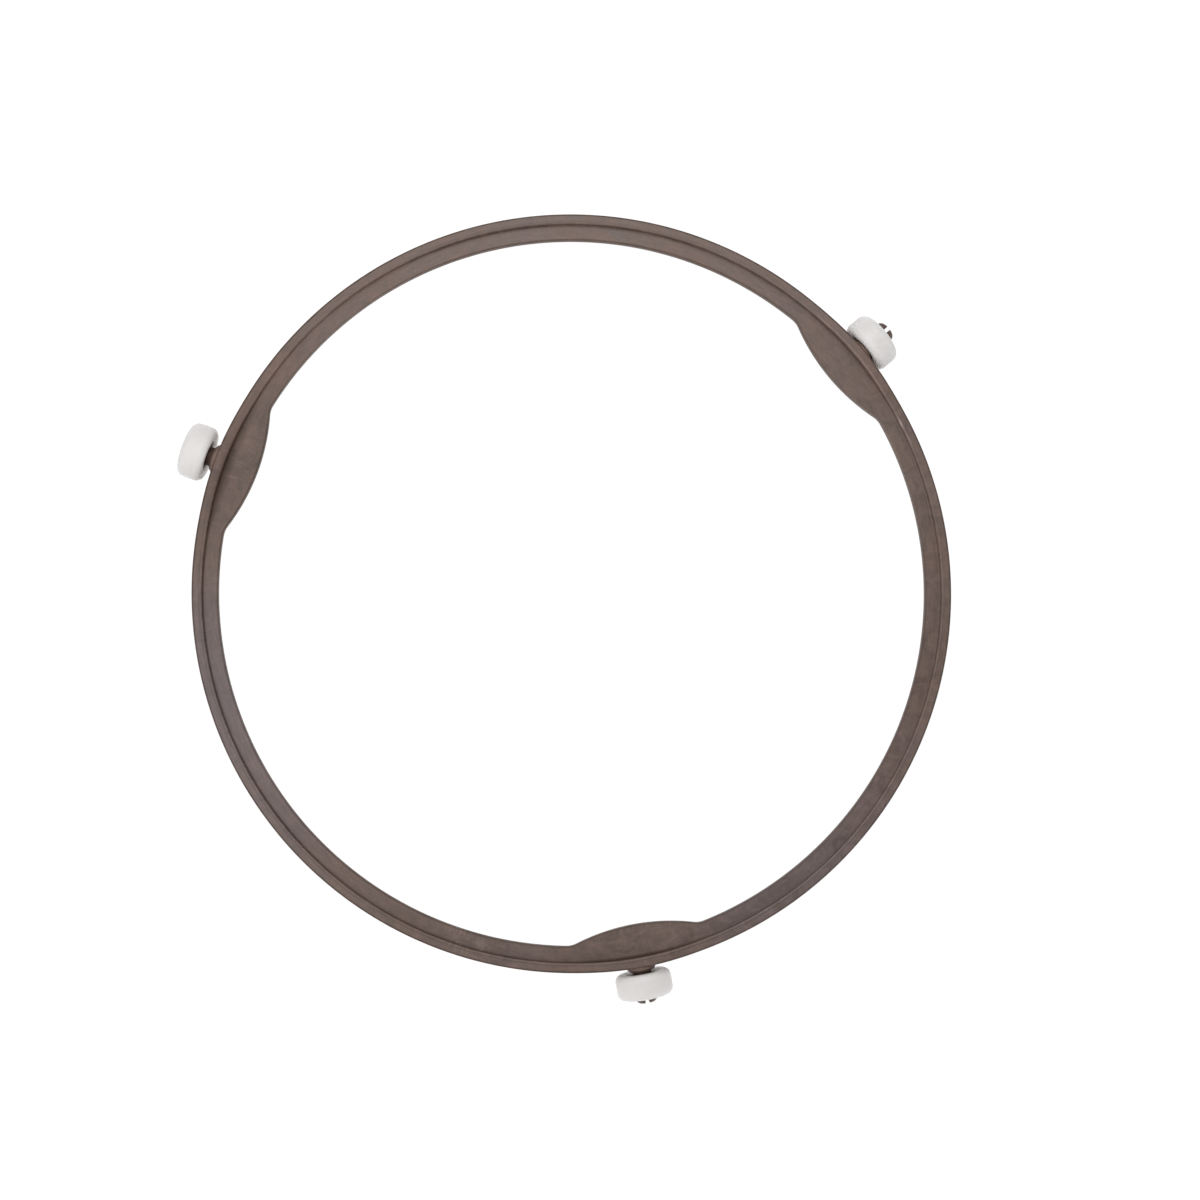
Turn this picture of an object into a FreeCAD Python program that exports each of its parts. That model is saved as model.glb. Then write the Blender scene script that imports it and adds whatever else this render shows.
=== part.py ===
import FreeCAD, Part
import Sketcher
import math
import os

# Roller ring of a microwave turntable: one moulded ring with three stub axles, and a roller on each.
# The origin is on the ring's axis, on the floor that the rollers stand on, with +Z up.

# Driving sizes in millimetres, and angles in degrees
SIZES = {
    # Ring: an upright rim with a flat flange inside it, level with the axles
    "ring_outer_diameter": 185.0,
    "rim_thickness": 2.4,
    "rim_height": 5.2,
    "flange_width": 3.74,
    "flange_thickness": 2.0,
    # Arch: the rim swells above and below each axle
    "arch_length": 40.0,
    "arch_rise": 1.2,
    # Lobe: flat ear of the flange behind each axle
    "lobe_reach": 3.9,
    "lobe_arc_radius": 51.2,
    "lobe_corner_radius": 5.2,
    # Stub axle: tapered root collar, shaft and a split barbed end
    "first_axle_angle": 30.0,
    "axle_diameter": 4.6,
    "collar_step": 1.2,
    "collar_length": 1.4,
    "collar_taper": 0.85,
    "barb_lip": 0.25,
    "barb_land": 0.35,
    "nose_length": 1.35,
    "nose_drop": 0.8,
    "nose_radius": 1.15,
    "slot_width": 1.0,
    "slot_length": 5.6,
    # Roller: the same recess on both faces, so that it fits either way round
    "roller_diameter": 13.6,
    "roller_width": 6.0,
    "edge_width": 1.7,
    "edge_depth": 1.5,
    "recess_chamfer": 0.5,
    "running_clearance": 0.1,
    "collar_clearance": 0.15,
    "seat_clearance": 0.1,
    "ring_gap": 0.3,
    # End play of a roller, and how far each one has slid out along it
    "axial_play": 2.1,
    "slide_right": 0.3,
    "slide_left": 1.8,
    "slide_front": 1.2,
}

AXLE_COUNT = 3
ROLLER_LABELS = ("roller_right", "roller_left", "roller_front")
ROLLER_SLIDES = ("slide_right", "slide_left", "slide_front")

# The rounding of a roller's edges is two chamfers that meet at this share of its width and depth
EDGE_SHARE = 0.27

# Sizes that follow from the driving ones
AXLE_HEIGHT = "(sizes.roller_diameter / 2)"
OUTER_RADIUS = "(sizes.ring_outer_diameter / 2)"
WALL_RADIUS = f"({OUTER_RADIUS} - sizes.rim_thickness)"
RIM_MIDDLE = f"({OUTER_RADIUS} - sizes.rim_thickness / 2)"
INNER_RADIUS = f"({WALL_RADIUS} - sizes.flange_width)"
RIM_HALF = "(sizes.rim_height / 2)"
FLANGE_HALF = "(sizes.flange_thickness / 2)"
ARCH_HALF_LENGTH = "(sizes.arch_length / 2)"
AXLE_RADIUS = "(sizes.axle_diameter / 2)"
COLLAR_RADIUS = f"({AXLE_RADIUS} + sizes.collar_step)"
BARB_RADIUS = f"({AXLE_RADIUS} + sizes.barb_lip)"
TIP_RADIUS = f"({BARB_RADIUS} - sizes.nose_drop)"
ROLLER_RADIUS = "(sizes.roller_diameter / 2)"
BORE_RADIUS = f"({AXLE_RADIUS} + sizes.running_clearance)"
RECESS_RADIUS = f"({COLLAR_RADIUS} + sizes.collar_clearance)"
RECESS_DEPTH = "(sizes.collar_length - sizes.ring_gap + sizes.seat_clearance)"

# Distances from the ring's axis along an axle
ROLLER_SEAT = f"({OUTER_RADIUS} + sizes.ring_gap)"
COLLAR_END = f"({OUTER_RADIUS} + sizes.collar_length)"
BARB_BACK = f"({ROLLER_SEAT} + sizes.roller_width - {RECESS_DEPTH} + sizes.axial_play)"
NOSE_START = f"({BARB_BACK} + sizes.barb_land)"
AXLE_TIP = f"({NOSE_START} + sizes.nose_length)"

# Arch: three equal arcs, so that it leaves the rim smoothly
ARCH_RADIUS = f"(({ARCH_HALF_LENGTH} ^ 2 + sizes.arch_rise ^ 2) / (4 * sizes.arch_rise))"

# Lobe: an arc round a centre outside the ring, with a small arc at each corner that touches it and the flange
LOBE_CENTRE = f"({INNER_RADIUS} - sizes.lobe_reach + sizes.lobe_arc_radius)"
CORNER_FROM_AXIS = f"({INNER_RADIUS} - sizes.lobe_corner_radius)"
CORNER_FROM_LOBE = "(sizes.lobe_arc_radius + sizes.lobe_corner_radius)"
CORNER_SQUARES = f"({CORNER_FROM_AXIS} ^ 2 - {CORNER_FROM_LOBE} ^ 2 + {LOBE_CENTRE} ^ 2)"
CORNER_ALONG = f"({CORNER_SQUARES} / (2 * {LOBE_CENTRE}))"
CORNER_ACROSS = f"sqrt({CORNER_FROM_AXIS} ^ 2 - {CORNER_ALONG} ^ 2)"
FLANGE_SHARE = f"{INNER_RADIUS} / {CORNER_FROM_AXIS}"
LOBE_SHARE = f"sizes.lobe_arc_radius / {CORNER_FROM_LOBE}"

# Lengths that only reach past or into other material
STOCK = "sizes.rim_thickness"
TALL = f"({RIM_HALF} + sizes.arch_rise + {STOCK})"
ARCH_REACH = f"({OUTER_RADIUS} + {STOCK})"
TRIM_RADIUS = f"(sqrt({ARCH_REACH} ^ 2 + {ARCH_HALF_LENGTH} ^ 2) + {STOCK})"


def make_sheet(doc):
    """Spreadsheet with one named cell for each driving size."""
    sheet = doc.addObject("Spreadsheet::Sheet", "sizes")
    for row, (name, value) in enumerate(SIZES.items(), start=1):
        sheet.set(f"A{row}", name)
        sheet.set(f"B{row}", str(value))
        sheet.setAlias(f"B{row}", name)
    doc.recompute()
    return sheet


def origin_part(body, role):
    """Plane or axis of the body's own origin."""
    return next(part for part in body.Origin.OriginFeatures if part.Role == role)


def new_sketch(body, name, plane, offsets):
    """Sketch on one of the body's origin planes, shifted by expressions for its own x, y or z."""
    sketch = body.newObject("Sketcher::SketchObject", name)
    sketch.AttachmentSupport = (origin_part(body, plane), [""])
    sketch.MapMode = "FlatFace"
    for axis, expression in offsets.items():
        sketch.setExpression(f"AttachmentOffset.Base.{axis}", expression)
    return sketch


def line_or_arc(start, end, bend, radius):
    """Straight edge, or an arc that turns left or right, and whether it runs from start to end."""
    if bend is None:
        return Part.LineSegment(start, end), True
    middle = (start + end) * 0.5
    chord = end - start
    normal = FreeCAD.Vector(-chord.y, chord.x, 0).normalize()
    height = math.sqrt(radius ** 2 - (chord.Length / 2) ** 2)
    forward = bend == "left"
    centre = middle + normal * (height if forward else -height)
    first, last = (start, end) if forward else (end, start)
    angles = [math.atan2(point.y - centre.y, point.x - centre.x) for point in (first, last)]
    circle = Part.Circle(centre, FreeCAD.Vector(0, 0, 1), radius)
    return Part.ArcOfCircle(circle, *angles), forward


def draw_outline(sketch, corners):
    """Closed outline whose corners are held by expressions, each measured from the sketch's origin.

    A corner is (across, up), or (across, up, bend, radius) where an arc leads on to the next corner.
    """
    def measure(expression):
        return float(sketch.evalExpression(expression))

    count = len(corners)
    points = [FreeCAD.Vector(measure(corner[0]), measure(corner[1]), 0) for corner in corners]
    edges = []
    for place, corner in enumerate(corners):
        bend, radius = corner[2:] if len(corner) > 2 else (None, None)
        size = measure(radius) if radius else None
        shape, forward = line_or_arc(points[place], points[(place + 1) % count], bend, size)
        edge = sketch.addGeometry(shape)
        edges.append((edge, 1 if forward else 2, 2 if forward else 1))
        if radius:
            hold = sketch.addConstraint(Sketcher.Constraint("Radius", edge, size))
            sketch.setExpression(f"Constraints[{hold}]", radius)
    for place, (edge, first, _) in enumerate(edges):
        before, _, last = edges[place - 1]
        sketch.addConstraint(Sketcher.Constraint("Coincident", before, last, edge, first))
        for kind, expression in zip(("DistanceX", "DistanceY"), corners[place][:2]):
            rule = Sketcher.Constraint(kind, -1, 1, edge, first, measure(expression))
            hold = sketch.addConstraint(rule)
            sketch.setExpression(f"Constraints[{hold}]", expression)


def rectangle(left, low, right, high):
    """Corners of a rectangle, for draw_outline."""
    return [(left, low), (right, low), (right, high), (left, high)]


def turn(body, kind, sketch, axis):
    """Full turn of a sketch about one of its own axes, adding (Revolution) or cutting (Groove)."""
    feature = body.newObject(f"PartDesign::{kind}", f"{sketch.Name}_turn")
    feature.Profile = sketch
    feature.ReferenceAxis = (sketch, [axis])
    return feature


def repeat_round(body, name, originals):
    """The originals once for each axle, round the ring's axis."""
    pattern = body.newObject("PartDesign::PolarPattern", name)
    pattern.Originals = originals
    pattern.Axis = (origin_part(body, "Z_Axis"), [""])
    pattern.Occurrences = AXLE_COUNT
    body.Tip = pattern
    return pattern


def add_rim_and_flange(doc, body):
    """Ring of T section lying on its side, with a rim that swells at each axle."""
    blank = new_sketch(body, "blank", "YZ_Plane", {"y": AXLE_HEIGHT})
    low_corner = (f"{INNER_RADIUS} - {STOCK}", f"-{RIM_HALF}")
    high_corner = (ARCH_REACH, RIM_HALF)
    draw_outline(blank, rectangle(*low_corner, *high_corner))
    turn(body, "Revolution", blank, "V_Axis")

    arch = new_sketch(body, "arch", "YZ_Plane", {"y": AXLE_HEIGHT, "z": INNER_RADIUS})
    half_way = f"({ARCH_HALF_LENGTH} / 2)"
    half_up = f"({RIM_HALF} + sizes.arch_rise / 2)"
    draw_outline(arch, [
        (f"-{ARCH_HALF_LENGTH}", f"-{RIM_HALF}", "right", ARCH_RADIUS),
        (f"-{half_way}", f"-{half_up}", "left", ARCH_RADIUS),
        (half_way, f"-{half_up}", "right", ARCH_RADIUS),
        (ARCH_HALF_LENGTH, f"-{RIM_HALF}"),
        (ARCH_HALF_LENGTH, RIM_HALF, "right", ARCH_RADIUS),
        (half_way, half_up, "left", ARCH_RADIUS),
        (f"-{half_way}", half_up, "right", ARCH_RADIUS),
        (f"-{ARCH_HALF_LENGTH}", RIM_HALF),
    ])
    arch_pad = body.newObject("PartDesign::Pad", "arch_pad")
    arch_pad.Profile = arch
    arch_pad.setExpression("Length", f"{ARCH_REACH} - {INNER_RADIUS}")
    doc.recompute()
    repeat_round(body, "arches", [arch_pad])
    doc.recompute()

    section = new_sketch(body, "section", "YZ_Plane", {"y": AXLE_HEIGHT})
    draw_outline(section, rectangle(OUTER_RADIUS, f"-{TALL}", TRIM_RADIUS, TALL))
    draw_outline(section, [
        (f"{INNER_RADIUS} - 2 * {STOCK}", f"-{TALL}"),
        (WALL_RADIUS, f"-{TALL}"),
        (WALL_RADIUS, f"-{FLANGE_HALF}"),
        (INNER_RADIUS, f"-{FLANGE_HALF}"),
        (INNER_RADIUS, FLANGE_HALF),
        (WALL_RADIUS, FLANGE_HALF),
        (WALL_RADIUS, TALL),
        (f"{INNER_RADIUS} - 2 * {STOCK}", TALL),
    ])
    trim = turn(body, "Groove", section, "V_Axis")
    body.Tip = trim
    doc.recompute()


def add_lobe(body):
    """Flat ear that widens the flange behind an axle."""
    lobe = new_sketch(body, "lobe", "XY_Plane", {"z": AXLE_HEIGHT})
    root = f"({INNER_RADIUS} + {WALL_RADIUS}) / 2"
    flange_end = (f"{CORNER_ALONG} * {FLANGE_SHARE}", f"{CORNER_ACROSS} * {FLANGE_SHARE}")
    lobe_end = (
        f"{LOBE_CENTRE} - ({LOBE_CENTRE} - {CORNER_ALONG}) * {LOBE_SHARE}",
        f"{CORNER_ACROSS} * {LOBE_SHARE}",
    )
    draw_outline(lobe, [
        (root, f"-{flange_end[1]}"),
        (root, flange_end[1]),
        (*flange_end, "right", "sizes.lobe_corner_radius"),
        (*lobe_end, "left", "sizes.lobe_arc_radius"),
        (lobe_end[0], f"-{lobe_end[1]}", "right", "sizes.lobe_corner_radius"),
        (flange_end[0], f"-{flange_end[1]}"),
    ])
    pad = body.newObject("PartDesign::Pad", "lobe_pad")
    pad.Profile = lobe
    pad.SideType = "Symmetric"
    pad.setExpression("Length", "sizes.flange_thickness")
    return pad


def add_axle(body):
    """Stub axle: tapered collar, shaft and a barbed bullet nose."""
    axle = new_sketch(body, "axle", "XZ_Plane", {"y": AXLE_HEIGHT})
    draw_outline(axle, [
        (RIM_MIDDLE, "0"),
        (AXLE_TIP, "0"),
        (AXLE_TIP, TIP_RADIUS, "left", "sizes.nose_radius"),
        (NOSE_START, BARB_RADIUS),
        (BARB_BACK, BARB_RADIUS),
        (BARB_BACK, AXLE_RADIUS),
        (COLLAR_END, AXLE_RADIUS),
        (f"{COLLAR_END} - sizes.collar_taper", COLLAR_RADIUS),
        (RIM_MIDDLE, COLLAR_RADIUS),
    ])
    return turn(body, "Revolution", axle, "H_Axis")


def add_slot(body):
    """Upright slot that splits the axle's end into two prongs, so that the barbs can spring in."""
    slot = new_sketch(body, "slot", "XY_Plane", {"z": AXLE_HEIGHT})
    half_width = "(sizes.slot_width / 2)"
    root = f"{AXLE_TIP} - sizes.slot_length"
    end = f"{AXLE_TIP} + sizes.slot_width"
    draw_outline(slot, rectangle(root, f"-{half_width}", end, half_width))
    pocket = body.newObject("PartDesign::Pocket", "slot_cut")
    pocket.Profile = slot
    pocket.SideType = "Symmetric"
    pocket.setExpression("Length", f"4 * {BARB_RADIUS}")
    return pocket


def make_ring(doc):
    """The moulded ring, drawn with its first axle along +X and then turned into place."""
    body = doc.addObject("PartDesign::Body", "ring_frame")
    body.Label = "ring_frame"
    add_rim_and_flange(doc, body)
    axle_features = [add_lobe(body), add_axle(body), add_slot(body)]
    doc.recompute()
    repeat_round(body, "axles", axle_features)
    body.setExpression("Placement.Rotation.Angle", "sizes.first_axle_angle")
    return body


def make_roller(doc, label, place, slide):
    """A roller, drawn along +X from its inner face and then set on its axle."""
    body = doc.addObject("PartDesign::Body", label)
    body.Label = label
    profile = new_sketch(body, f"{label}_profile", "XZ_Plane", {})
    width = "sizes.roller_width"
    mouth = "sizes.recess_chamfer"
    far_floor = f"{width} - {RECESS_DEPTH}"
    face_top = f"{ROLLER_RADIUS} - sizes.edge_depth"
    edge_top = f"{ROLLER_RADIUS} - sizes.edge_depth * {EDGE_SHARE}"
    edge_along = f"sizes.edge_width * {EDGE_SHARE}"
    face_bottom = f"{RECESS_RADIUS} + {mouth}"
    draw_outline(profile, [
        (mouth, RECESS_RADIUS),
        (RECESS_DEPTH, RECESS_RADIUS),
        (RECESS_DEPTH, BORE_RADIUS),
        (far_floor, BORE_RADIUS),
        (far_floor, RECESS_RADIUS),
        (f"{width} - {mouth}", RECESS_RADIUS),
        (width, face_bottom),
        (width, face_top),
        (f"{width} - {edge_along}", edge_top),
        (f"{width} - sizes.edge_width", ROLLER_RADIUS),
        ("sizes.edge_width", ROLLER_RADIUS),
        (edge_along, edge_top),
        ("0", face_top),
        ("0", face_bottom),
    ])
    body.Tip = turn(body, "Revolution", profile, "H_Axis")
    angle = f"(sizes.first_axle_angle + {place} * 360 / {AXLE_COUNT})"
    seat = f"({ROLLER_SEAT} + sizes.{slide})"
    body.setExpression("Placement.Base.x", f"{seat} * cos({angle})")
    body.setExpression("Placement.Base.y", f"{seat} * sin({angle})")
    body.setExpression("Placement.Base.z", AXLE_HEIGHT)
    body.setExpression("Placement.Rotation.Angle", angle)
    return body


def check(doc, bodies):
    """Stop if any feature failed or any piece isn't one valid solid."""
    for item in doc.Objects:
        if "Invalid" in item.State or "Error" in item.State:
            raise RuntimeError(f"{item.Name} failed: {item.State}")
    for body in bodies:
        if body.Shape.isNull() or not body.Shape.isValid():
            raise RuntimeError(f"{body.Label} has no valid shape")
        if len(body.Shape.Solids) != 1:
            raise RuntimeError(f"{body.Label} isn't one solid")


def main():
    doc = FreeCAD.newDocument("roller_ring")
    make_sheet(doc)
    bodies = [make_ring(doc)]
    for place, (label, slide) in enumerate(zip(ROLLER_LABELS, ROLLER_SLIDES)):
        bodies.append(make_roller(doc, label, place, slide))
    doc.recompute()
    check(doc, bodies)
    os.makedirs("parts", exist_ok=True)
    for body in bodies:
        body.Shape.exportStep(f"parts/{body.Label}.step")
        print(body.Label, round(body.Shape.Volume, 1), body.Shape.BoundBox)


main()
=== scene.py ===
import math
import bpy
import numpy as np
from mathutils import Matrix, Vector


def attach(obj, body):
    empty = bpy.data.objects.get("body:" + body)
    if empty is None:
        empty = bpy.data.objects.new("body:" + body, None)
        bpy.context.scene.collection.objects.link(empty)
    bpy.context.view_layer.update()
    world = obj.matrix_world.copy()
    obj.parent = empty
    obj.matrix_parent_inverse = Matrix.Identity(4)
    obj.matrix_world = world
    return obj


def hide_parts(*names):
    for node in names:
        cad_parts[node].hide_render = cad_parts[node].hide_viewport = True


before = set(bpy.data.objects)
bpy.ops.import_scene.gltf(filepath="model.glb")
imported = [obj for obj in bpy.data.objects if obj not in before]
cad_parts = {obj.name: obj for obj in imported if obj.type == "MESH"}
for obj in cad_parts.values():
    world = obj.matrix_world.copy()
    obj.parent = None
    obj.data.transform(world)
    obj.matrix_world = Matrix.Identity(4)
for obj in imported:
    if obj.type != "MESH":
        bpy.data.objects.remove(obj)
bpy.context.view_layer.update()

# Lengths are in millimetres where nothing else is said, and the scene is in metres
MM = 0.001

# Ring
RING_RADIUS = 92.5
WALL_RADIUS = 90.1
FLANGE_RADIUS = 86.36
AXLE_HEIGHT = 6.8
RIM_HALF = 2.6
FLANGE_HALF = 1.0
ARCH_HALF_LENGTH = 20.0
ARCH_RISE = 1.2
LOBE_REACH = 3.9
LOBE_ARC_RADIUS = 51.2
LOBE_CORNER_RADIUS = 5.2
AXLE_ANGLES = (30.0, 150.0, 270.0)

# Softened edges of the moulding
RIM_EDGE = 0.35
FLANGE_EDGE = 0.3
FOOT_FILLET = 0.25
ARC_STEPS = 3
TURNED_ARC_STEPS = 4
STEPS_PER_THIRD = 400
CORNER_STEPS = 24
EDGE_MARGIN = 0.2
NORMAL_WEIGHT = 90

# Stub axle, measured outwards from the ring's axis
AXLE_RADIUS = 2.3
COLLAR_RADIUS = 3.5
COLLAR_FILLET = 0.15
COLLAR_FOOT_EDGE = 0.1
COLLAR_EDGE = 0.2
BARB_EDGE = 0.05
AXLE_ROOT = 91.3
COLLAR_TAPER_START = 93.05
COLLAR_SHOULDER = 93.55
SHOULDER_RADIUS = 3.05
COLLAR_END = 93.9
BARB_RADIUS = 2.55
BARB_BACK = 99.7
NOSE_START = 100.05
AXLE_TIP = 101.4
TIP_RADIUS = 1.75
NOSE_RADIUS = 1.15
NOSE_STEPS = 8
SLOT_HALF_WIDTH = 0.5
SLOT_ROOT = 95.8

# Roller, measured along its axis from the face next to the ring
ROLLER_RADIUS = 6.8
ROLLER_WIDTH = 6.0
EDGE_WIDTH = 1.7
EDGE_DEPTH = 1.5
EDGE_STEPS = 9
BORE_RADIUS = 2.4
RECESS_RADIUS = 3.65
RECESS_DEPTH = 1.2
RECESS_CHAMFER = 0.5
RECESS_LIP_EDGE = 0.08
RECESS_FOOT_EDGE = 0.25
BORE_EDGE = 0.15
ROLLER_SEAT = 92.8
ROLLERS = (
    ("right", 30.0, 0.3),
    ("left", 150.0, 1.8),
    ("front", 270.0, 1.2),
)
TURNED_STEPS = 128

# Painted shade in edges, grooves and recesses: 0 for the bare surface, 1 for the darkest groove, below 0
# where painted light makes it lighter
LIGHTEST_SHADE = -2.0
DARKEST_SHADE = 1.0
EDGE_SHADE = 0.5
INNER_EDGE_SHADE = 0.45
INNER_FACE_SHADE = 0.6
RIM_LINE_SHADE = 0.3
RIM_LINE_WIDTH = 0.35
COLLAR_SHADE = -0.1
COLLAR_EDGE_SHARE = 0.65
TAPER_SHADE = 0.0
SHAFT_SHADE = 0.75
SHAFT_DARK_FROM = 94.4
NOSE_SHADE = 0.3
SLOT_SHADE = 0.6
INNER_LIP_SHADE = 0.3
OUTER_BORE_SHADE = 0.5
OUTER_RECESS_SHADE = 0.15

# Painted shade in the crease at the foot of the rim, darkest on the left; a spot is an angle, a half width
# and an amount, and above 1 it turns the crease into painted light
CREASE_SHADE = 0.36
CREASE_SWING = 0.26
CREASE_LIGHTEST_ANGLE = 15.0
CREASE_WIDTH = 0.12
CREASE_LIGHTER_SPOTS = ((123.0, 15.0, 1.8), (18.0, 12.0, 2.2), (225.0, 12.0, 0.45))
# Spots where the inner edge's painted shade is weaker
INNER_EDGE_LIGHTER_SPOTS = ((17.0, 17.0, 1.0), (122.0, 13.0, 0.9))

# Painted shade in the crease behind each axle: extra painted shade, reach over the flange and over the rim,
# and painted shade of the edge above it, which below 0 is a painted highlight
LOBE_CREASES = {
    30.0: (0.05, 0.1, 0.0, -0.45),
    150.0: (0.15, 2.0, 0.9, 0.0),
    270.0: (0.3, 0.25, 0.0, 0.0),
}
LOBE_CREASE_LENGTH = 15.0
RIM_SHADE_SHARE = 0.55
SCRATCHES = ((17.3, 0.9, -1.7), (15.0, 2.2, -0.5))
FADE_POWER = 4

# Colours
RING_GREY = (0.155, 0.117, 0.113, 1)
RING_BROWN = (0.155, 0.101, 0.080, 1)
# Factor for each colour channel where the painted shade is darkest
PAINTED_SHADE_COLOUR = (0.32, 0.25, 0.2)
ROLLER_WARM = (0.80, 0.771, 0.753, 1)
ROLLER_COOL = (0.79, 0.761, 0.748, 1)

# Clouds on the ring: a place on the ring, how far the cloud spreads, and its strength
# The first two grey clouds are painted reflected light from white rollers that lay beside the ring; the
# third makes the left lobe browner
GREY_CLOUDS = (((-87, -12, 7), 48.0, 1.1), ((45, -77, 7), 55.0, 0.75), ((-77, 44, 7), 40.0, -1.0))
DARK_CLOUDS = (
    ((-77, 44, 7), 30.0, 0.22),
    ((2, -83, 7), 16.0, 0.08),
    ((-48, -76, 7), 50.0, 0.1),
    ((-83, -30, 7), 18.0, -0.05),
    ((-37.5, -80.4, 7.8), 2.1, -0.65),
    ((-36.5, -78.2, 7.8), 6.0, 0.14),
    ((-44.3, -75.5, 7.8), 4.0, -0.14),
    ((-71.7, 50.6, 7.8), 4.5, -0.3),
    ((-74.5, 47.4, 7.8), 5.0, -0.15),
    ((-68.8, 50.2, 7.8), 5.0, 0.18),
    ((-71.6, 43.2, 7.8), 6.0, 0.16),
    ((-67.1, 54.4, 7.8), 5.0, 0.14),
)
WISP_CLOUDS = (((-75, 43, 7), 15.0, 0.5), ((3, -84, 7), 13.0, 0.4), ((-40, -79, 7), 12.0, 0.5))

# Marks in the plastic: how closely they follow each other round and across a piece, and how strong they are
FLOW_ROUND = 26
FLOW_ACROSS = 1.7
FLOW_SWING = 0.32
FLOW_BUMP = 0.6
PATCH_SWING = 0.5
GRAIN_SWING = 0.16
WISP_ROUND = 62
WISP_ACROSS = 0.3
WISP_STRENGTH = 0.09
TREAD_ROUND = 5
TREAD_ALONG = 2.4
TREAD_SWING = 0.05
ROLLER_CLOUD_SWING = 0.06
ROLLER_PATTERN_SHIFT = 100
ROLLER_GRAIN_BUMP = 0.4
# Roller's tone in its darkest painted shade
ROLLER_DEEP_TONE = 0.3
SCATTER_DEPTH = 6.0

# Camera
EYE = (-19.5, -21.4, 439.8)
CAMERA_TURN = (-2.912, 2.858, 9.92)
FOCAL_PIXELS = 1773.3
IMAGE_PIXELS = 1200
SENSOR = 36.0
CLIP_START = 10.0

# Lamps: name, direction in degrees, distance from the ring's axis, height and size in metres, watts
LAMPS = (
    ("soft_box_back", 80.0, 0.15, 0.3, 0.2, 0.45),
    ("soft_box_left", 200.0, 0.15, 0.3, 0.2, 0.28),
    ("low_light_left", 215.0, 0.6, 0.2, 0.3, 0.38),
    ("low_light_right", 305.0, 0.6, 0.2, 0.3, 0.56),
)
SKY_STRENGTH = 0.31
FLOOR_GLOW = 0.94
FLOOR_COLOUR = 0.15
FLOOR_ROUGHNESS = 0.9
PAPER_SWING = 0.03

# Floor and backdrop, in metres
FLOOR_HALF = 8.0
BACKDROP_HEIGHT = 6.0


def rounded(corners, steps, closed):
    """Points of an outline whose corners are rounded, with a tag for each point.

    A corner is (across, up, radius, tag).
    """
    points = []
    tags = []
    count = len(corners)
    for place, (across, up, radius, tag) in enumerate(corners):
        corner = Vector((across, up))
        at_end = not closed and place in (0, count - 1)
        if radius == 0 or at_end:
            points.append(corner)
            tags.append(tag)
            continue
        before = Vector(corners[place - 1][:2])
        after = Vector(corners[(place + 1) % count][:2])
        back = (before - corner).normalized()
        ahead = (after - corner).normalized()
        half = back.angle(ahead) / 2
        centre = corner + (back + ahead).normalized() * (radius / math.sin(half))
        first = corner + back * (radius / math.tan(half)) - centre
        last = corner + ahead * (radius / math.tan(half)) - centre
        sweep = first.angle_signed(last)
        for step in range(steps + 1):
            turned = first.copy()
            turned.rotate(Matrix.Rotation(-sweep * step / steps, 2))
            points.append(centre + turned)
            tags.append(tag)
    return points, tags


def new_mesh(name, vertices, faces, tags):
    """Smooth mesh from millimetres, with the tags as each vertex's painted shade."""
    mesh = bpy.data.meshes.new(name)
    mesh.from_pydata([tuple(value * MM for value in vertex) for vertex in vertices], [], faces)
    mesh.shade_smooth()
    layer = mesh.attributes.new("painted_shade", "FLOAT", "POINT")
    layer.data.foreach_set("value", tags)
    mesh.update()
    return mesh


def new_piece(name, mesh):
    """Object in the scene whose flat faces keep flat shading beside rounded edges."""
    piece = bpy.data.objects.new(name, mesh)
    bpy.context.collection.objects.link(piece)
    normals = piece.modifiers.new("even_normals", "WEIGHTED_NORMAL")
    normals.weight = NORMAL_WEIGHT
    normals.keep_sharp = True
    return piece


def arch_rise(across):
    """Height of the rim's swelling at a distance from the axle's upright plane."""
    across = abs(across)
    radius = (ARCH_HALF_LENGTH ** 2 + ARCH_RISE ** 2) / (4 * ARCH_RISE)
    if across >= ARCH_HALF_LENGTH:
        return 0.0
    if across <= ARCH_HALF_LENGTH / 2:
        return ARCH_RISE - radius + math.sqrt(radius ** 2 - across ** 2)
    return radius - math.sqrt(radius ** 2 - (ARCH_HALF_LENGTH - across) ** 2)


def lobe_corner():
    """Centre of the small arc between lobe and flange, and the angles where it meets each of them."""
    middle = FLANGE_RADIUS - LOBE_REACH + LOBE_ARC_RADIUS
    from_axis = FLANGE_RADIUS - LOBE_CORNER_RADIUS
    from_lobe = LOBE_ARC_RADIUS + LOBE_CORNER_RADIUS
    along = (from_axis ** 2 - from_lobe ** 2 + middle ** 2) / (2 * middle)
    across = math.sqrt(from_axis ** 2 - along ** 2)
    share = LOBE_ARC_RADIUS / from_lobe
    lobe_end = math.atan2(across * share, middle - (middle - along) * share)
    return middle, along, across, lobe_end, math.atan2(across, along)


def inner_radius(turn):
    """Distance from the ring's axis to the flange's inner edge, at an angle from the nearest axle."""
    middle, along, across, lobe_end, flange_end = lobe_corner()
    turn = abs(turn)
    if turn >= flange_end:
        return FLANGE_RADIUS
    if turn <= lobe_end:
        depth = math.sqrt(LOBE_ARC_RADIUS ** 2 - (middle * math.sin(turn)) ** 2)
        return middle * math.cos(turn) - depth
    reach = math.hypot(along, across)
    aside = turn - flange_end
    return reach * math.cos(aside) + math.sqrt(LOBE_CORNER_RADIUS ** 2 - (reach * math.sin(aside)) ** 2)


def spot(degrees, centre, half_width, amount):
    """A smooth spot at one place round the ring."""
    away = (degrees - centre + 180) % 360 - 180
    return amount * math.exp(-(away / half_width) ** 2)


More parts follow.
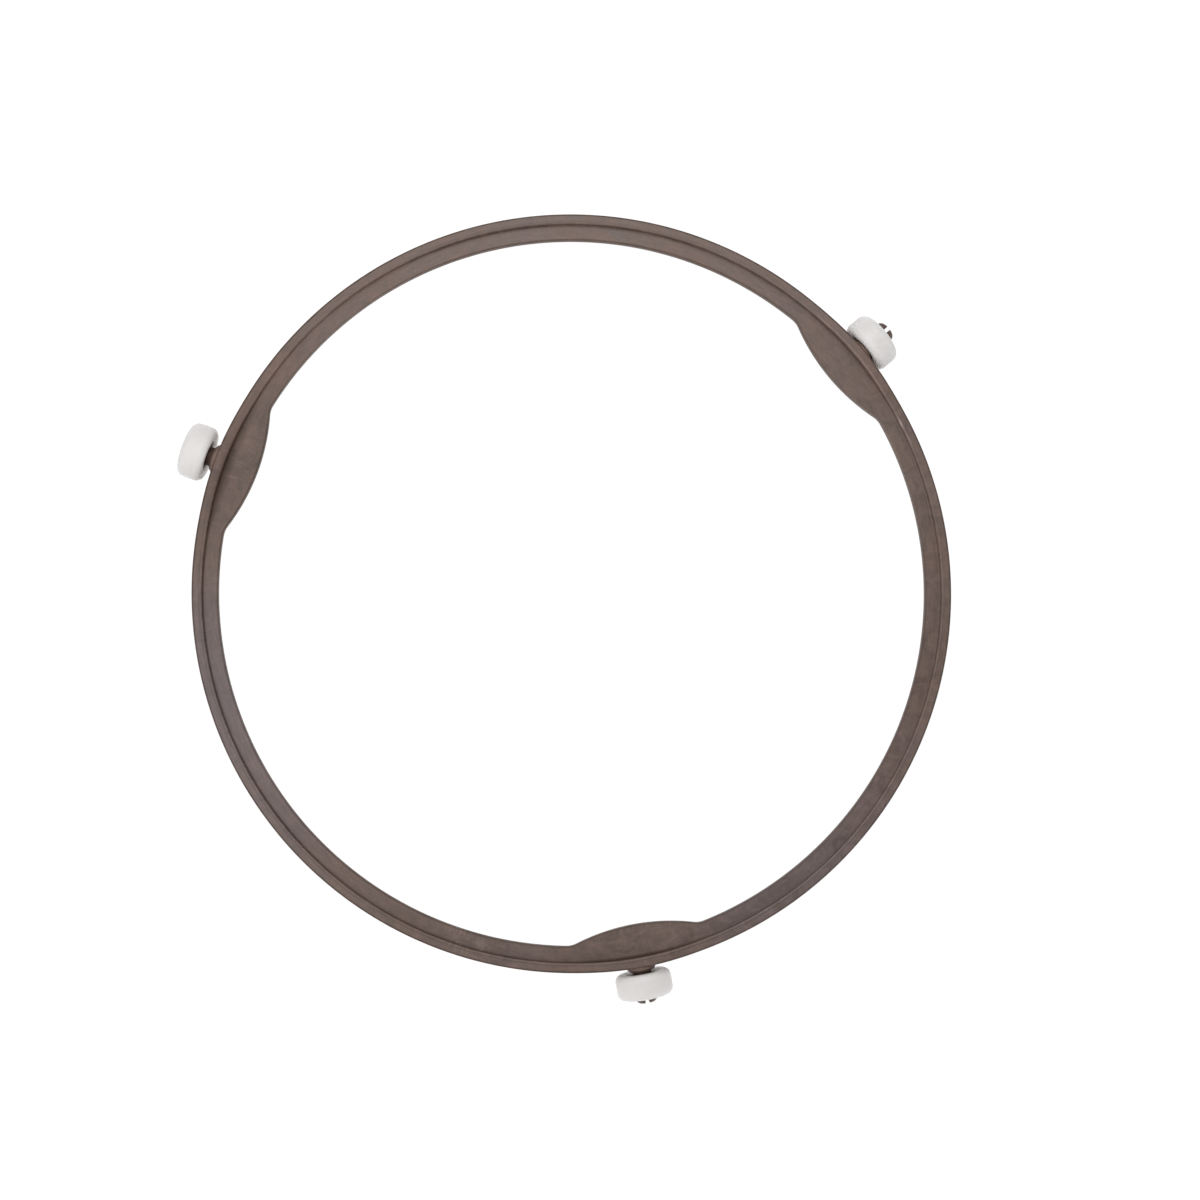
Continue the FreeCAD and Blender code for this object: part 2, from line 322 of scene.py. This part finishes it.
def crease(axle_angle, turn):
    """Painted shade of the crease and of the edge above it, below 0 a painted highlight, then its reach
    over flange and rim.
    """
    degrees = axle_angle + math.degrees(turn)
    painted_shade = CREASE_SHADE - CREASE_SWING * math.cos(math.radians(degrees - CREASE_LIGHTEST_ANGLE))
    for clean in CREASE_LIGHTER_SPOTS:
        painted_shade *= 1 - spot(degrees, *clean)
    extra, over_flange, over_rim, wall = LOBE_CREASES[axle_angle]
    fade = math.exp(-(WALL_RADIUS * math.sin(turn) / LOBE_CREASE_LENGTH) ** FADE_POWER)
    painted_shade += extra * fade
    top_shade = painted_shade * RIM_SHADE_SHARE * over_rim * fade + wall * fade
    top_shade += sum(spot(degrees, *scratch) for scratch in SCRATCHES)
    return painted_shade, top_shade, CREASE_WIDTH + over_flange * fade, over_rim * fade


def ring_section(axle_angle, turn):
    """Section of the ring at an angle from the nearest axle, with painted shade for each point."""
    foot_shade, top_shade, over_flange, over_rim = crease(axle_angle, turn)
    degrees = axle_angle + math.degrees(turn)
    inner_share = 1 - sum(spot(degrees, *clean) for clean in INNER_EDGE_LIGHTER_SPOTS)
    crease_share = min(1.0, max(0.0, foot_shade / CREASE_SHADE))
    line_shade = RIM_LINE_SHADE * crease_share * max(0.0, 1 - over_rim)
    # Painted shade on the outer edge, weaker where the collar meets it
    at_collar = math.exp(-(RING_RADIUS * math.sin(turn) / COLLAR_RADIUS) ** FADE_POWER)
    outer_shade = EDGE_SHADE * (1 - COLLAR_EDGE_SHARE * at_collar)
    inner = inner_radius(turn)
    outer_half = RIM_HALF + arch_rise(RING_RADIUS * math.sin(turn))
    wall_half = RIM_HALF + arch_rise(WALL_RADIUS * math.sin(turn))
    rim_margin = RIM_EDGE + EDGE_MARGIN
    foot_margin = FOOT_FILLET + over_flange
    flange_margin = FLANGE_EDGE + EDGE_MARGIN
    # The last value of each corner is its painted shade: dark outer and inner edges, inner face, crease and
    # a faint line on the rim
    upper = [
        (RING_RADIUS, outer_half - rim_margin, 0, 0.0),
        (RING_RADIUS, outer_half, RIM_EDGE, outer_shade),
        (RING_RADIUS - rim_margin, outer_half, 0, 0.0),
        (WALL_RADIUS + rim_margin + over_rim + RIM_LINE_WIDTH, wall_half, 0, 0.0),
        (WALL_RADIUS + rim_margin + over_rim, wall_half, 0, line_shade),
        (WALL_RADIUS, wall_half, RIM_EDGE, top_shade),
        (WALL_RADIUS, wall_half - rim_margin, 0, foot_shade),
        (WALL_RADIUS, FLANGE_HALF, FOOT_FILLET, foot_shade),
        (WALL_RADIUS - foot_margin, FLANGE_HALF, 0, 0.0),
        (inner + flange_margin, FLANGE_HALF, 0, 0.0),
        (inner, FLANGE_HALF, FLANGE_EDGE, INNER_EDGE_SHADE * inner_share),
        (inner, 0, 0, INNER_FACE_SHADE),
    ]
    lower = [(across, -up, radius, tag) for across, up, radius, tag in reversed(upper[:-1])]
    return rounded(upper + lower, ARC_STEPS, True)


def ring_turns():
    """Angles from an axle, in radians, closer together where a lobe's corner turns."""
    lobe_end, flange_end = lobe_corner()[3:]
    even = np.linspace(-math.pi / 3, math.pi / 3, STEPS_PER_THIRD, endpoint=False)
    close = np.linspace(lobe_end, flange_end, CORNER_STEPS)
    return np.unique(np.concatenate([even, close, -close]))


def grid_faces(rounds, count, closed):
    """Faces between neighbouring sections of count points each, all the way round."""
    faces = []
    for section in range(rounds):
        one = section * count
        two = (section + 1) % rounds * count
        for place in range(count if closed else count - 1):
            other = (place + 1) % count
            faces.append((one + place, two + place, two + other, one + other))
    return faces


def turned_mesh(name, corners, steps, closed):
    """Mesh of an outline of (along, radius) turned round the X axis."""
    points, tags = rounded(corners, steps, closed)
    vertices = []
    for step in range(TURNED_STEPS):
        angle = 2 * math.pi * step / TURNED_STEPS
        for along, radius in points:
            vertices.append((along, radius * math.cos(angle), radius * math.sin(angle)))
    faces = grid_faces(TURNED_STEPS, len(points), closed)
    if not closed:
        first_loop = [step * len(points) for step in range(TURNED_STEPS)]
        faces.append(first_loop[::-1])
        faces.append([corner + len(points) - 1 for corner in first_loop])
    return new_mesh(name, vertices, faces, tags * TURNED_STEPS)


def make_ring_mesh():
    """Rim, flange and lobes, all the way round."""
    vertices = []
    tags = []
    sections = 0
    for angle in AXLE_ANGLES:
        for turn in ring_turns():
            points, shades = ring_section(angle, turn)
            place = math.radians(angle) + turn
            for radius, height in points:
                x = radius * math.cos(place)
                y = radius * math.sin(place)
                vertices.append((x, y, AXLE_HEIGHT + height))
            tags.extend(shades)
            sections += 1
    faces = grid_faces(sections, len(points), True)
    return new_mesh("ring_moulding", vertices, faces, tags)


def make_axle_mesh():
    """Stub axle along X with its barbed end split by an upright slot."""
    # Painted light on the collar, and painted shade on the shaft, darkest where it runs into the roller's
    # recess; the barb and nose are darker
    corners = [
        (AXLE_ROOT, COLLAR_RADIUS + COLLAR_FILLET, 0, 0.0),
        (RING_RADIUS, COLLAR_RADIUS + COLLAR_FILLET, 0, COLLAR_SHADE),
        (RING_RADIUS + COLLAR_FILLET, COLLAR_RADIUS, COLLAR_FOOT_EDGE, COLLAR_SHADE),
        (COLLAR_TAPER_START, COLLAR_RADIUS, COLLAR_EDGE, COLLAR_SHADE),
        (COLLAR_SHOULDER, SHOULDER_RADIUS, COLLAR_EDGE, TAPER_SHADE),
        (COLLAR_END, AXLE_RADIUS, COLLAR_EDGE, SHAFT_SHADE),
        (SHAFT_DARK_FROM, AXLE_RADIUS, 0, DARKEST_SHADE),
        (BARB_BACK, AXLE_RADIUS, BARB_EDGE, DARKEST_SHADE),
        (BARB_BACK, BARB_RADIUS, BARB_EDGE, NOSE_SHADE),
        *nose_points(),
    ]
    return cut_slot(turned_mesh("axle_turned", corners, TURNED_ARC_STEPS, False))


def nose_points():
    """Arc from the barb to the axle's tip."""
    start = Vector((NOSE_START, BARB_RADIUS))
    end = Vector((AXLE_TIP, TIP_RADIUS))
    chord = end - start
    inward = Vector((chord.y, -chord.x)).normalized()
    depth = math.sqrt(NOSE_RADIUS ** 2 - (chord.length / 2) ** 2)
    centre = (start + end) / 2 + inward * depth
    first = math.atan2(start.y - centre.y, start.x - centre.x)
    last = math.atan2(end.y - centre.y, end.x - centre.x)
    points = []
    for angle in np.linspace(first, last, NOSE_STEPS):
        along = centre.x + NOSE_RADIUS * math.cos(angle)
        points.append((along, centre.y + NOSE_RADIUS * math.sin(angle), 0, NOSE_SHADE))
    return points


def cut_slot(mesh):
    """The axle with its slot cut out."""
    axle = bpy.data.objects.new("axle_turned", mesh)
    ends = (SLOT_ROOT, 2 * AXLE_TIP - SLOT_ROOT)
    cheeks = (-SLOT_HALF_WIDTH, SLOT_HALF_WIDTH)
    heights = (-2 * BARB_RADIUS, 2 * BARB_RADIUS)
    corners = [(x, y, z) for x in ends for y in cheeks for z in heights]
    sides = [(0, 1, 3, 2), (4, 6, 7, 5), (0, 4, 5, 1), (2, 3, 7, 6), (0, 2, 6, 4), (1, 5, 7, 3)]
    # The slot's faces take the cutter's painted shade
    cutter = bpy.data.objects.new("slot", new_mesh("slot", corners, sides, [SLOT_SHADE] * len(corners)))
    for item in (axle, cutter):
        bpy.context.collection.objects.link(item)
    cut = axle.modifiers.new("slot", "BOOLEAN")
    cut.operation = "DIFFERENCE"
    cut.solver = "EXACT"
    cut.object = cutter
    bpy.context.view_layer.update()
    depsgraph = bpy.context.evaluated_depsgraph_get()
    result = bpy.data.meshes.new_from_object(axle.evaluated_get(depsgraph))
    for item in (axle, cutter):
        bpy.data.objects.remove(item)
    return result


def make_roller_mesh():
    """Roller along X, with a bore and a recess in each face."""
    width = ROLLER_WIDTH
    lip_radius = RECESS_RADIUS + RECESS_CHAMFER
    # Painted shade in the recesses and bore, darkest in the recess next to the ring
    corners = [
        (0, lip_radius, RECESS_LIP_EDGE, 0.0),
        (RECESS_CHAMFER, RECESS_RADIUS, RECESS_LIP_EDGE, INNER_LIP_SHADE),
        (RECESS_DEPTH, RECESS_RADIUS, RECESS_FOOT_EDGE, DARKEST_SHADE),
        (RECESS_DEPTH, BORE_RADIUS, BORE_EDGE, DARKEST_SHADE),
        (width - RECESS_DEPTH, BORE_RADIUS, BORE_EDGE, OUTER_BORE_SHADE),
        (width - RECESS_DEPTH, RECESS_RADIUS, RECESS_FOOT_EDGE, OUTER_RECESS_SHADE),
        (width - RECESS_CHAMFER, RECESS_RADIUS, RECESS_LIP_EDGE, 0.0),
        (width, lip_radius, RECESS_LIP_EDGE, 0.0),
    ]
    edge = []
    for angle in np.linspace(0, math.pi / 2, EDGE_STEPS):
        along = EDGE_WIDTH * (1 - math.cos(angle))
        edge.append((along, ROLLER_RADIUS - EDGE_DEPTH * (1 - math.sin(angle)), 0, 0.0))
    corners += [(width - along, radius, 0, tag) for along, radius, _, tag in edge]
    corners += reversed(edge)
    return turned_mesh("roller_turned", corners[::-1], TURNED_ARC_STEPS, True)


def along_axle(angle, distance):
    """Placement at a distance from the ring's axis, with X pointing outwards along the axle."""
    turn = Matrix.Rotation(math.radians(angle), 4, "Z")
    place = turn @ Vector((distance, 0, 0)) + Vector((0, 0, AXLE_HEIGHT))
    return Matrix.Translation(place * MM) @ turn


class Shading:
    """Builds one material's nodes; a value is either a number or another node's output."""

    def __init__(self, name):
        self.material = bpy.data.materials.new(name)
        self.material.use_nodes = True
        self.tree = self.material.node_tree
        self.shader = self.tree.nodes["Principled BSDF"]

    def put(self, socket, value):
        """Sets a socket to a number or colour, or links another node's output to it."""
        if isinstance(value, bpy.types.NodeSocket):
            self.tree.links.new(value, socket)
        else:
            socket.default_value = value

    def node(self, kind, settings, values):
        """New node with its settings, and a value for each named or numbered socket."""
        item = self.tree.nodes.new(kind)
        for name, value in settings.items():
            setattr(item, name, value)
        for name, value in values.items():
            self.put(item.inputs[name], value)
        return item

    def math(self, operation, first, second=0.0, third=0.0):
        values = {0: first, 1: second, 2: third}
        return self.node("ShaderNodeMath", {"operation": operation}, values).outputs[0]

    def vector(self, operation, first, second=(0, 0, 0)):
        item = self.node("ShaderNodeVectorMath", {"operation": operation}, {0: first, 1: second})
        return item.outputs["Value" if operation == "LENGTH" else "Vector"]

    def join(self, x, y, z):
        return self.node("ShaderNodeCombineXYZ", {}, {0: x, 1: y, 2: z}).outputs[0]

    def noise(self, place, scale, detail, roughness=0.5, distortion=0.0):
        values = {"Vector": place, "Scale": scale, "Detail": detail}
        values.update({"Roughness": roughness, "Distortion": distortion})
        return self.node("ShaderNodeTexNoise", {}, values).outputs[0]

    def ramp(self, value, low, high, out_low=0.0, out_high=1.0):
        """A value's range mapped to another range, and held at its ends."""
        values = {"Value": value, "From Min": low, "From Max": high}
        values.update({"To Min": out_low, "To Max": out_high})
        return self.node("ShaderNodeMapRange", {"clamp": True}, values).outputs[0]

    def blend(self, factor, first, second):
        """Mix of two colours, whose sockets come after those for numbers and vectors."""
        item = self.node("ShaderNodeMix", {"data_type": "RGBA"}, {0: factor, 6: first, 7: second})
        return item.outputs[2]

    def place(self):
        """Object coordinates in millimetres."""
        coordinates = self.node("ShaderNodeTexCoord", {}, {}).outputs["Object"]
        return self.vector("MULTIPLY", coordinates, (1 / MM, 1 / MM, 1 / MM))

    def near(self, place, centre, reach, amount):
        """An amount that fades away with distance from a place."""
        away = self.vector("LENGTH", self.vector("SUBTRACT", place, centre))
        return self.ramp(away, 0, reach, amount, 0)

    def painted_shade(self):
        """The mesh's painted shade for grooves, edges and recesses, which below 0 is painted light."""
        return self.node("ShaderNodeAttribute", {"attribute_name": "painted_shade"}, {}).outputs["Fac"]

    def bump(self, height, strength, depth):
        """Fine relief of a depth in millimetres."""
        values = {"Strength": strength, "Distance": depth * MM, "Height": height}
        self.put(self.shader.inputs["Normal"], self.node("ShaderNodeBump", {}, values).outputs[0])


def swing(look, value, amount):
    """A value round 0.5 as a factor round 1."""
    return look.ramp(value, 0.0, 1.0, 1.0 - amount, 1.0 + amount)


def ring_look():
    """Grey-brown moulded plastic with flow marks along the ring and cloudy patches."""
    look = Shading("ring_plastic_look")
    place = look.place()
    flat = look.vector("MULTIPLY", place, (1, 1, 0))
    radius = look.vector("LENGTH", flat)
    outwards = look.vector("NORMALIZE", flat)
    height = look.node("ShaderNodeSeparateXYZ", {}, {0: place}).outputs["Z"]
    flow_across = look.math("MULTIPLY", look.math("ADD", radius, height), FLOW_ACROSS)
    along_ring = look.vector("MULTIPLY", outwards, (FLOW_ROUND, FLOW_ROUND, 0))
    along_ring = look.vector("ADD", along_ring, look.join(0, 0, flow_across))
    wisp_across = look.math("MULTIPLY", radius, WISP_ACROSS)
    across_ring = look.vector("MULTIPLY", outwards, (WISP_ROUND, WISP_ROUND, 0))
    across_ring = look.vector("ADD", across_ring, look.join(0, 0, wisp_across))
    streaks = look.noise(along_ring, scale=1.0, detail=4, roughness=0.6, distortion=0.4)
    clouds = look.noise(place, scale=0.045, detail=3, roughness=0.55)
    patches = look.noise(place, scale=0.2, detail=3, roughness=0.55, distortion=1.4)
    wisps = look.noise(across_ring, scale=1.0, detail=5, roughness=0.65, distortion=1.6)
    grain = look.noise(place, scale=2.2, detail=3, roughness=0.6)
    tone = look.math("MULTIPLY", swing(look, streaks, FLOW_SWING), swing(look, patches, PATCH_SWING))
    tone = look.math("MULTIPLY", tone, swing(look, grain, GRAIN_SWING))
    wisp = look.ramp(wisps, low=0.48, high=0.72)
    strength = WISP_STRENGTH
    for centre, reach, amount in WISP_CLOUDS:
        strength = look.math("ADD", look.near(place, centre, reach, amount), strength)
    tone = look.math("MULTIPLY", tone, look.math("MULTIPLY_ADD", wisp, strength, 1.0))
    brown = look.ramp(clouds, low=0.36, high=0.64, out_low=0.7, out_high=1.0)
    for centre, reach, amount in GREY_CLOUDS:
        brown = look.math("SUBTRACT", brown, look.near(place, centre, reach, amount))
    for centre, reach, amount in DARK_CLOUDS:
        darker = look.math("SUBTRACT", 1.0, look.near(place, centre, reach, amount))
        tone = look.math("MULTIPLY", tone, darker)
    warm = look.blend(brown, RING_GREY, RING_BROWN)
    # Painted shade darkens creases, edges and recesses, and below 0 lightens them as painted light
    painted_shade = look.painted_shade()
    deep = []
    for darkest in PAINTED_SHADE_COLOUR:
        lightest = 1 - LIGHTEST_SHADE * (1 - darkest)
        part = look.ramp(painted_shade, LIGHTEST_SHADE, DARKEST_SHADE, lightest, darkest)
        deep.append(look.math("MULTIPLY", tone, part))
    look.put(look.shader.inputs["Base Color"], look.vector("MULTIPLY", warm, look.join(*deep)))
    gloss = look.ramp(painted_shade, low=0, high=DARKEST_SHADE, out_low=0.5, out_high=0.15)
    look.put(look.shader.inputs["Specular IOR Level"], gloss)
    roughness = look.ramp(patches, low=0.3, high=0.7, out_low=0.42, out_high=0.58)
    look.put(look.shader.inputs["Roughness"], roughness)
    relief = look.math("ADD", look.math("MULTIPLY", streaks, FLOW_BUMP), grain)
    look.bump(relief, strength=0.35, depth=0.04)
    return look.material


def roller_look():
    """White moulded plastic with faint marks round the tread."""
    look = Shading("roller_plastic_look")
    place = look.place()
    apart = look.node("ShaderNodeSeparateXYZ", {}, {0: place})
    flat = look.vector("MULTIPLY", place, (0, 1, 1))
    around = look.vector("MULTIPLY", look.vector("NORMALIZE", flat), (0, TREAD_ROUND, TREAD_ROUND))
    along = look.math("MULTIPLY", apart.outputs["X"], TREAD_ALONG)
    origin = look.node("ShaderNodeObjectInfo", {}, {}).outputs["Location"]
    apart_from_others = look.vector("MULTIPLY", origin, (ROLLER_PATTERN_SHIFT,) * 3)
    tread = look.vector("ADD", look.vector("ADD", around, look.join(along, 0, 0)), apart_from_others)
    marks = look.noise(tread, scale=1.0, detail=4, roughness=0.6, distortion=0.3)
    clouds = look.noise(look.vector("ADD", place, apart_from_others), scale=0.35, detail=4)
    grain = look.noise(place, scale=3.0, detail=3)
    tone = look.math("MULTIPLY", swing(look, marks, TREAD_SWING), swing(look, clouds, ROLLER_CLOUD_SWING))
    # Painted shade darkens the recesses and bore
    deep = look.ramp(look.painted_shade(), low=0, high=DARKEST_SHADE, out_low=1.0, out_high=ROLLER_DEEP_TONE)
    tone = look.math("MULTIPLY", tone, deep)
    white = look.blend(look.ramp(clouds, low=0.35, high=0.65), ROLLER_WARM, ROLLER_COOL)
    look.put(look.shader.inputs["Base Color"], look.vector("MULTIPLY", white, look.join(tone, tone, tone)))
    roughness = look.ramp(marks, low=0.3, high=0.7, out_low=0.38, out_high=0.5)
    look.put(look.shader.inputs["Roughness"], roughness)
    look.put(look.shader.inputs["Subsurface Weight"], 1.0)
    look.put(look.shader.inputs["Subsurface Radius"], (1.0, 1.0, 1.0))
    look.put(look.shader.inputs["Subsurface Scale"], SCATTER_DEPTH * MM)
    relief = look.math("ADD", marks, look.math("MULTIPLY", grain, ROLLER_GRAIN_BUMP))
    look.bump(relief, strength=0.3, depth=0.03)
    return look.material


def floor_look(name):
    """White paper that hardly shows a shadow."""
    look = Shading(name)
    paper = look.noise(look.place(), scale=0.5, detail=3)
    darkest = (1 - PAPER_SWING) * FLOOR_COLOUR
    lightest = (1 + PAPER_SWING) * FLOOR_COLOUR
    tone = look.ramp(paper, low=0.3, high=0.7, out_low=darkest, out_high=lightest)
    look.put(look.shader.inputs["Base Color"], look.join(tone, tone, tone))
    look.put(look.shader.inputs["Roughness"], FLOOR_ROUGHNESS)
    look.put(look.shader.inputs["Emission Color"], (1, 1, 1, 1))
    look.put(look.shader.inputs["Emission Strength"], FLOOR_GLOW)
    return look.material


def add_stage(name, corners, faces, material):
    """Plain surface that is not part of the object."""
    mesh = bpy.data.meshes.new(name)
    mesh.from_pydata(corners, [], faces)
    mesh.materials.append(material)
    item = bpy.data.objects.new(name, mesh)
    bpy.context.collection.objects.link(item)
    return item


def add_lamp(name, turn, out, height, size, energy):
    """Square lamp that faces the middle of the ring."""
    lamp = bpy.data.lights.new(name, "AREA")
    lamp.size = size
    lamp.energy = energy
    lamp_object = bpy.data.objects.new(name, lamp)
    bpy.context.collection.objects.link(lamp_object)
    angle = math.radians(turn)
    lamp_object.location = (out * math.cos(angle), out * math.sin(angle), height)
    lamp_object.rotation_mode = "QUATERNION"
    lamp_object.rotation_quaternion = (-lamp_object.location).to_track_quat("-Z", "Y")


ring_material = ring_look()
roller_material = roller_look()

ring = new_piece("ring_moulding", make_ring_mesh())
ring.data.materials.append(ring_material)
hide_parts("ring_frame")
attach(ring, "ring")

axle_mesh = make_axle_mesh()
axle_mesh.materials.append(ring_material)
for angle in AXLE_ANGLES:
    axle = new_piece(f"stub_axle_{angle:.0f}", axle_mesh)
    axle.matrix_world = along_axle(angle, 0)
    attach(axle, "ring")

roller_mesh = make_roller_mesh()
roller_mesh.materials.append(roller_material)
for side, angle, slide in ROLLERS:
    roller = new_piece(f"turned_roller_{side}", roller_mesh)
    roller.matrix_world = along_axle(angle, ROLLER_SEAT + slide)
    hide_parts(f"roller_{side}")
    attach(roller, f"{side}_roller")

# Floor, and a backdrop at its edge that leaves the light on the ring as it is
floor_corners = [(-FLOOR_HALF, -FLOOR_HALF, 0), (FLOOR_HALF, -FLOOR_HALF, 0)]
floor_corners += [(FLOOR_HALF, FLOOR_HALF, 0), (-FLOOR_HALF, FLOOR_HALF, 0)]
add_stage("floor", floor_corners, [(0, 1, 2, 3)], floor_look("floor_white"))
wall_corners = floor_corners + [(x, y, BACKDROP_HEIGHT) for x, y, _ in floor_corners]
count = len(floor_corners)
walls = []
for place in range(count):
    other = (place + 1) % count
    walls.append((place, other, other + count, place + count))
backdrop_material = floor_look("backdrop_white")
backdrop_material.cycles.emission_sampling = "NONE"
backdrop = add_stage("backdrop", wall_corners, walls, backdrop_material)
backdrop.visible_diffuse = False
backdrop.visible_glossy = False
backdrop.visible_transmission = False
backdrop.visible_shadow = False

# Light
world = bpy.data.worlds.new("studio")
bpy.context.scene.world = world
world.use_nodes = True
world.node_tree.nodes["Background"].inputs["Color"].default_value = (1, 1, 1, 1)
world.node_tree.nodes["Background"].inputs["Strength"].default_value = SKY_STRENGTH
for lamp in LAMPS:
    add_lamp(*lamp)

# Camera
camera = bpy.data.cameras.new("camera")
camera.sensor_width = SENSOR
camera.lens = FOCAL_PIXELS / IMAGE_PIXELS * SENSOR
camera.clip_start = CLIP_START * MM
camera_object = bpy.data.objects.new("camera", camera)
bpy.context.collection.objects.link(camera_object)
lean = Vector((math.radians(CAMERA_TURN[0]), math.radians(CAMERA_TURN[1]), 0))
lean_turn = Matrix.Rotation(lean.length, 4, lean.normalized())
spin_turn = Matrix.Rotation(math.radians(CAMERA_TURN[2]), 4, "Z")
camera_object.matrix_world = Matrix.Translation(Vector(EYE) * MM) @ (lean_turn @ spin_turn).inverted()
bpy.context.scene.camera = camera_object
bpy.context.scene.view_settings.view_transform = "Standard"

bpy.context.view_layer.update()
